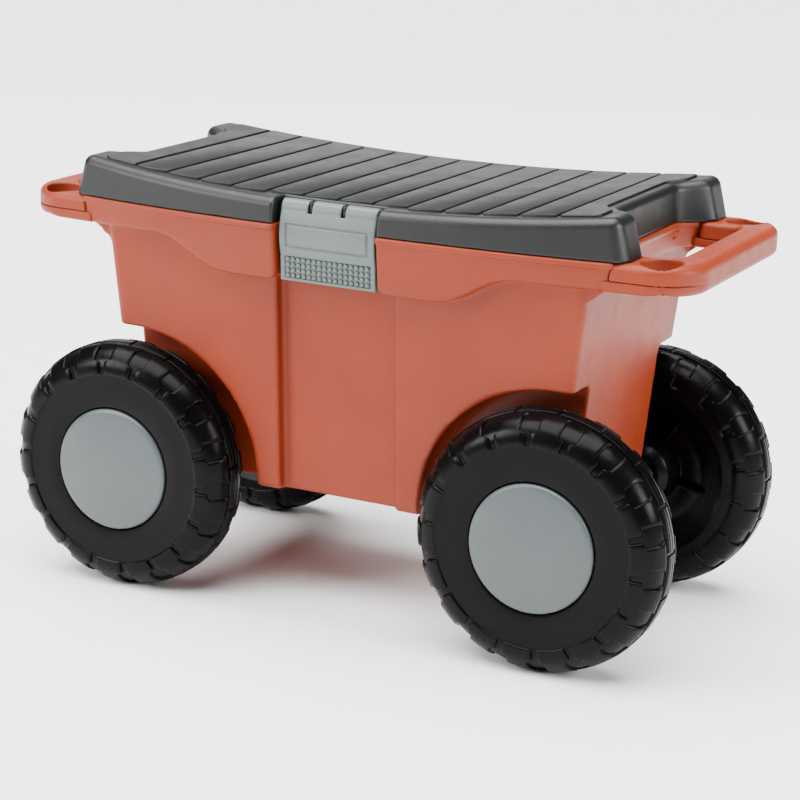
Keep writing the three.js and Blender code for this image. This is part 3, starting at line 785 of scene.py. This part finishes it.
def tread_point(s):
    """Radius, width and outward slope of the smooth tread at a distance from its middle."""
    side = math.copysign(1, s)
    turn = max(0.0, abs(s) - TREAD_HALF_FLAT) / TREAD_ROUND
    flat = min(abs(s), TREAD_HALF_FLAT)
    radius = TREAD_CORNER + TREAD_ROUND * math.cos(turn)
    across = TREAD_MIDDLE + side * (flat + TREAD_ROUND * math.sin(turn))
    return radius, across, math.cos(turn), side * math.sin(turn)


def block_edge(inside):
    """Share of the slot's depth at a distance inside its edge; the block's top edge is rounded."""
    return float(np.interp(inside, (-0.9, -0.45, 0, 0.4), (0, 0.12, 0.5, 1)))


def tread_sink(s, u, edge, pitch):
    """Depth of the pattern below the blocks' tops: s runs over the tread, u round the wheel."""
    s = abs(s)
    slot = block_edge(edge - abs(u)) * ease((s - SLOT_START) / 0.4)
    ring = block_edge(RING_GROOVE[1] - abs(s - RING_GROOVE[0]))
    fine = 0.35 * ease((FINE_GROOVE[1] - abs(s - FINE_GROOVE[0])) / 0.4)
    cross = 0.6 * ease((abs(u) - pitch / 2 + 1.6) / 0.7) * ease((6.6 - s) / 0.5)
    return TREAD_DEPTH * max(slot, ring, fine, cross)


def wheel_inner_profile():
    """The rest of the wheel's section from the outer sidewall through the hub to the inner one."""
    return [(77.25, 27.4), (76.9, 27.2), (76.2, 27.15), (64, 27.15), (52.2, 27.15), (50.7, 26.6),
            (50.2, 25.4), (49.6, 24.65), (35, 24.65), (19.5, 24.65), (18, 10.7),
            (AXLE_BORE, 10.7), (AXLE_BORE, -35.75), (19.4, -35.75), (20.4, -35.2), (25, -31.25),
            (26.2, -29.6), (28.8, -12.5), (29.4, -10.8), (30.4, -10.3), (45.5, -11.25),
            (48.5, -12.1), (64.5, -20.3), (67, -21.35), (68.6, -22.6), (70.6, -23.3),
            (76.4, -23.5), (77.1, -23.9)]


def tread_marks(edge, pitch):
    """Places across one sector of the tread, closer together at the slot's edge."""
    marks = [0, edge * 0.55, edge - 0.4, edge, edge + 0.45, edge + 0.9]
    rest = pitch / 2 - 1.95 - marks[-1]
    marks += [marks[-1] + rest * t for t in (0.33, 0.66, 1.0)]
    marks += [pitch / 2 - 1.6, pitch / 2 - 1.2, pitch / 2 - 0.9, pitch / 2]
    return [-m for m in marks[:0:-1]] + marks


def make_wheel_sector():
    """One slot's share of a wheel, from the middle of one block to the next, about local Y."""
    angle = 2 * math.pi / TREAD_BLOCKS
    rows = []
    for s in tread_rows():
        radius, across, out, side = tread_point(s)
        pitch = angle * radius
        edge = groove_half_width(abs(s))
        row = []
        for u in tread_marks(edge, pitch):
            sink = tread_sink(s, u, edge, pitch)
            # By the sidewall the slots run out and the blocks' outer edges are eased.
            if abs(s) > TREAD_FADE[0]:
                sink = max(min(sink, 0.95), 0.45 if abs(s) > TREAD_FADE[1] else 0.12)
            r, a = radius - sink * out, across - sink * side
            row.append((r * math.sin(u / radius), a, r * math.cos(u / radius)))
        rows.append(row)
    columns = [math.atan2(x, z) for x, _, z in rows[-1]]
    for r, a in wheel_inner_profile():
        rows.append([(r * math.sin(t), a, r * math.cos(t)) for t in columns])
    width = len(columns)
    faces = []
    for i in range(len(rows)):
        j = (i + 1) % len(rows)
        for c in range(width - 1):
            faces.append((i * width + c, i * width + c + 1, j * width + c + 1, j * width + c))
    points = np.array([p for row in rows for p in row]) * MM
    return mesh_object("wheel_sector", points, faces)


def make_wheel(name):
    """A whole wheel: the sectors welded together, with ribs in the web of its inner side."""
    sector = make_wheel_sector()
    turns = [(0, 2 * math.pi * k / TREAD_BLOCKS, 0) for k in range(TREAD_BLOCKS)]
    wheel = copies(name, sector, [(0, 0, 0)] * TREAD_BLOCKS, WHEEL_BLACK, turns, weld=0.02)
    rib = bevelled_block("rib", RIB_SIZE, 0.7, 2)
    rib.data.transform(Matrix.Translation([c * MM for c in RIB_MIDDLE]))
    turns = [(0, 2 * math.pi * (k + 0.2) / WHEEL_RIBS, 0) for k in range(WHEEL_RIBS)]
    ribs = copies(name + "_ribs", rib, [(0, 0, 0)] * WHEEL_RIBS, WHEEL_BLACK, turns)
    return join(wheel, ribs)


def join(first, *others):
    """The pieces as one mesh, each closed shell kept as it is."""
    mesh = bmesh.new()
    for obj in (first, *others):
        mesh.from_mesh(obj.data)
    bmesh.ops.recalc_face_normals(mesh, faces=mesh.faces[:])
    mesh.to_mesh(first.data)
    mesh.free()
    shade_smooth(first.data)
    first.data.set_sharp_from_angle(angle=math.radians(38))
    for obj in others:
        bpy.data.objects.remove(obj)
    return first


def lathe(name, profile, segments):
    """A closed solid turned about local Y from (radius, across) points that start and end on it."""
    mesh = bmesh.new()
    rings = []
    for r, a in profile:
        if r == 0:
            rings.append([mesh.verts.new((0, a * MM, 0))])
            continue
        angles = [2 * math.pi * k / segments for k in range(segments)]
        rings.append([mesh.verts.new((r * math.sin(t) * MM, a * MM, r * math.cos(t) * MM))
                      for t in angles])
    for near, far in zip(rings, rings[1:]):
        for k in range(segments):
            n = (k + 1) % segments
            corners = [near[k % len(near)], near[n % len(near)],
                       far[n % len(far)], far[k % len(far)]]
            mesh.faces.new(list(dict.fromkeys(corners)))
    return object_from(mesh, name)


def make_hub_cap(name):
    """A shallow domed disc with a rolled edge."""
    top, drop = CAP_CROWN
    dome = [(r, top - drop * (r / CAP_RADIUS) ** 2) for r in (44, 38, 31, 23, 14, 6)]
    edge = [(46.8, 29.3), (48.3, 28.75), (49.1, 27.9), (49.4, 26.8)]
    profile = [(0, 25.0), (47.0, 25.0), (49.2, 25.2)] + edge[::-1] + dome + [(0, top)]
    return lathe(name, profile, 96)


def place_on_axle(obj, end, side, turn):
    """Moves a piece made about the origin to its wheel: end is +1 right, side is +1 rear."""
    if side < 0:
        obj.data.transform(Matrix.Rotation(math.pi, 4, "Z"))
    obj.data.transform(Matrix.Rotation(turn, 4, "Y"))
    place = (end * AXLE_X * MM, side * WHEEL_MIDDLE * MM, AXLE_Z * MM)
    obj.data.transform(Matrix.Translation(place))


def build_wheels():
    master = make_wheel("wheel_master")
    for place, turn in WHEEL_TURNS.items():
        side = 1 if place.startswith("rear") else -1
        end = 1 if place.endswith("right") else -1
        body = "wheel_body_" + place
        data = master.data.copy()
        data.name = "moulded_wheel_" + place
        wheel = new_object("moulded_wheel_" + place, data)
        place_on_axle(wheel, end, side, turn)
        fit_in(wheel, body, WHEEL_BLACK, "black_wheel_plastic", "wheel_" + place)
        cap = make_hub_cap("domed_cap_" + place)
        place_on_axle(cap, end, side, 0)
        fit_in(cap, body, CAP_GREY, "cap_grey_plastic", "hub_cap_" + place)
    bpy.data.objects.remove(master)


# ---------------------------------------------------------------- the whole cart


def build_tub():
    fit_in(make_tub(), CART_BODY, TERRACOTTA, "terracotta_plastic", "tub")
    handle = make_handle()
    handle_left = mirrored_copy(handle, "handle_left", 0)
    fit_in(handle, CART_BODY, TERRACOTTA, "terracotta_plastic", "handle_cover_right", "tub")
    fit_in(handle_left, CART_BODY, TERRACOTTA, "terracotta_plastic", "handle_cover_left", "tub")


def build_hinges():
    """Four ears on the tub, two beside each of the lid's two knuckles."""
    steps = (-EAR_OFFSET, EAR_OFFSET)
    places = [end * (HINGE_X + step) for end in (-1, 1) for step in steps]
    ears = make_hinge("tub_hinge_ears", hinge_ear_field, places, TERRACOTTA)
    fit_in(ears, CART_BODY, TERRACOTTA, "terracotta_plastic", "tub")
    places = (-HINGE_X, HINGE_X)
    knuckles = make_hinge("lid_hinge_knuckles", hinge_knuckle_field, places, CHARCOAL)
    fit_in(knuckles, LID_BODY, CHARCOAL, "charcoal_plastic", "lid")


def build_lid():
    hooks = make_lid_hooks()
    fit_in(hooks, LID_BODY, CHARCOAL, "charcoal_plastic", "lid")
    shell = make_lid()
    fit_in(shell, LID_BODY, CHARCOAL, "charcoal_plastic", "lid")
    end = make_end_plank()
    end_left = mirrored_copy(end, "end_plank_left", 0)
    for piece in (end, end_left, make_planks()):
        fit_in(piece, LID_BODY, CHARCOAL, "charcoal_plastic", "lid")


def build_latch():
    for piece in (make_latch(), make_latch_pads()):
        fit_in(piece, LATCH_BODY, SILVER, "silver_grey_plastic", "latch")


build_tub()
build_hinges()
build_lid()
build_latch()
build_wheels()

# The CAD's own pins, axles, nuts, washers and screws stay in place and are plated.
SHOWN_ELSEWHERE = ("tub", "lid", "latch", "handle_cover", "wheel_", "hub_cap_")
for name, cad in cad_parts.items():
    if name.startswith("lid_hinge") or not name.startswith(SHOWN_ELSEWHERE):
        give(cad, STEEL)

# ---------------------------------------------------------------- floor, light and camera


def area_light(name, place, target, size, power):
    """A plain white soft box that faces its target."""
    light = bpy.data.lights.new(name, "AREA")
    light.shape = "RECTANGLE"
    light.size, light.size_y = size
    light.energy = power
    obj = new_object(name, light)
    obj.location = place
    obj.rotation_euler = (Vector(target) - Vector(place)).to_track_quat("-Z", "Y").to_euler()


def make_floor():
    half = FLOOR_HALF_SIZE
    points = [(-half, -half, 0), (half, -half, 0), (half, half, 0), (-half, half, 0)]
    floor = mesh_object("studio_floor", np.array(points, float), [(0, 1, 2, 3)])
    give(floor, FLOOR)


def make_camera():
    degrees = (CAMERA_AZIMUTH, CAMERA_ELEVATION, CAMERA_ROLL)
    azimuth, elevation, roll = (math.radians(a) for a in degrees)
    back = Vector((math.sin(azimuth) * math.cos(elevation),
                   -math.cos(azimuth) * math.cos(elevation), math.sin(elevation)))
    right = Vector((math.cos(azimuth), math.sin(azimuth), 0))
    up = back.cross(right)
    turned_right = math.cos(roll) * right + math.sin(roll) * up
    turned_up = math.cos(roll) * up - math.sin(roll) * right
    data = bpy.data.cameras.new("studio_camera")
    data.sensor_width = SENSOR_WIDTH
    data.lens = CAMERA_LENS
    camera = new_object("studio_camera", data)
    basis = Matrix((turned_right, turned_up, back)).transposed().to_4x4()
    basis.translation = Vector(CAMERA_TARGET) + back * CAMERA_DISTANCE
    camera.matrix_world = basis
    bpy.context.scene.camera = camera


def make_light():
    world = bpy.data.worlds.new("studio")
    bpy.context.scene.world = world
    world.use_nodes = True
    background = world.node_tree.nodes["Background"]
    background.inputs["Color"].default_value = (1, 1, 1, 1)
    background.inputs["Strength"].default_value = ROOM_GLOW
    sky = bpy.data.lights.new("ceiling", "SUN")
    sky.energy = CEILING_STRENGTH
    sky.angle = math.radians(CEILING_SPREAD)
    ceiling = new_object("ceiling", sky)
    ceiling.rotation_euler = (math.radians(6), math.radians(-6), 0)
    area_light("key_left", (-1.15, -1.3, 0.95), (-0.1, 0, 0.18), (0.7, 0.7), 33)
    area_light("fill_right", (2.3, -0.1, 1.1), (0.1, 0, 0.2), (0.9, 0.9), 58)
    area_light("back_panel", (-1.3, 2.4, 0.95), (0, 0, 0.3), (2.6, 0.8), 15)


make_floor()
make_camera()
make_light()
